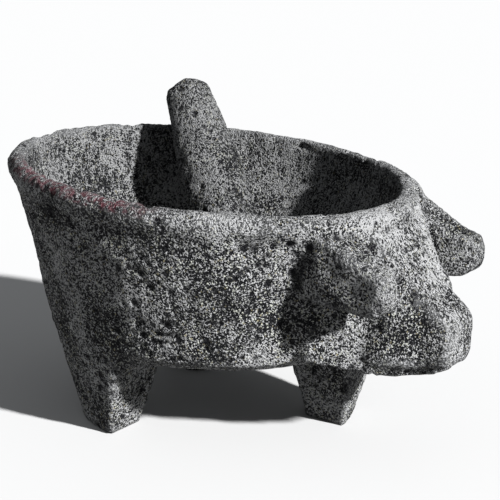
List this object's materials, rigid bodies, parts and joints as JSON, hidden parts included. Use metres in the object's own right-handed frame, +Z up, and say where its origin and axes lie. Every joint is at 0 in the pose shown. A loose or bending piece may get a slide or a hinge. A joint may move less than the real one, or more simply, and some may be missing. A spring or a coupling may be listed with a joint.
{
  "type": "molcajete",
  "caption": "Basalt molcajete cut as a pig: a round grinding bowl on legs with a pig's head at the rim, and a loose stone pestle leaning in the bowl.",
  "frame": {"origin": "on the floor under the middle of the part's outline seen from above", "axes": "+Z up, -Y the way the pig's nose points, +X the pig's left"},
  "size_m": [0.2014, 0.2337, 0.1532],
  "materials": {
    "basalt": "pecked, pitted and unpolished",
    "pestle_basalt": "pecked, worn smoother than the mortar"
  },
  "bodies": {
    "mortar": {"mortar": "basalt"},
    "tejolote": {"tejolote": "pestle_basalt"}
  },
  "joints": [
    {"name": "tejolote_lift", "type": "slide", "parent": "mortar", "child": "tejolote", "axis": [0, 0, 1], "range_m": [0, 0.09]}
  ]
}
